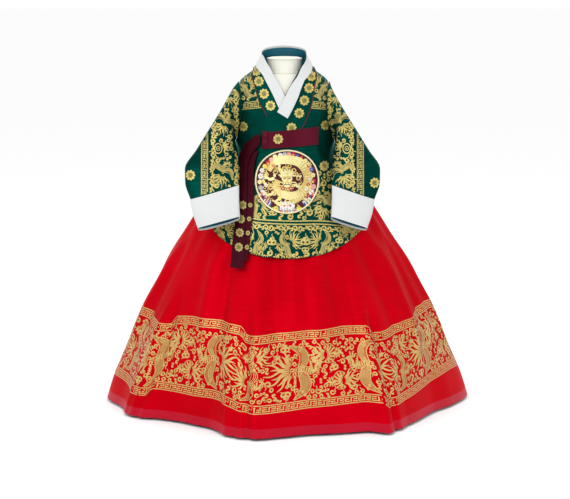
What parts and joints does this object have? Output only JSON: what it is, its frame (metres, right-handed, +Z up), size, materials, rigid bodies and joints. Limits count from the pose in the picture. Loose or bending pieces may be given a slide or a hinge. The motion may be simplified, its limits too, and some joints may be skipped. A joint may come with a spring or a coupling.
{
  "type": "korean hanbok on a dress form",
  "caption": "Girl's ceremonial hanbok: green gold-patterned jacket with white cuffs and wine ties over a full red skirt, filled out on a limbless dress form.",
  "frame": {"origin": "centre of the underside of the form's round base, on the floor", "axes": "+Z up, -Y the garment's front, +X the viewer's right as seen from the front"},
  "size_m": [0.7511, 0.6834, 0.7245],
  "materials": {
    "jacket_silk": "satin brocade",
    "skirt_silk": "satin organza",
    "cuff_cotton": "matte",
    "ribbon_silk": "satin",
    "gold_embroidery": "embroidered",
    "form_cloth": "matte jersey",
    "band_cotton": "matte",
    "stand_steel": "brushed"
  },
  "bodies": {
    "root": {"form_torso": "form_cloth", "form_neck": "form_cloth", "form_neck_cap": "form_cloth", "form_pole": "stand_steel", "form_base": "stand_steel", "skirt_band_left": "band_cotton", "skirt_band_right": "band_cotton", "jacket_front_over": "jacket_silk", "jacket_front_under": "jacket_silk", "jacket_back_left": "jacket_silk", "jacket_back_right": "jacket_silk", "sleeve_left": "jacket_silk", "sleeve_right": "jacket_silk", "cuff_left": "cuff_cotton", "cuff_right": "cuff_cotton", "collar_left": "jacket_silk", "collar_right": "jacket_silk", "collar_back": "jacket_silk", "collar_edging_left": "cuff_cotton", "collar_edging_right": "cuff_cotton", "collar_edging_back": "cuff_cotton", "tie_loop": "ribbon_silk", "tie_knot": "ribbon_silk", "tie_tail_front": "ribbon_silk", "tie_tail_back": "ribbon_silk", "chest_roundel": "gold_embroidery", "skirt_panel_1": "skirt_silk", "skirt_panel_2": "skirt_silk", "skirt_panel_3": "skirt_silk", "skirt_panel_4": "skirt_silk", "skirt_panel_5": "skirt_silk", "skirt_panel_6": "skirt_silk"}
  },
  "joints": []
}
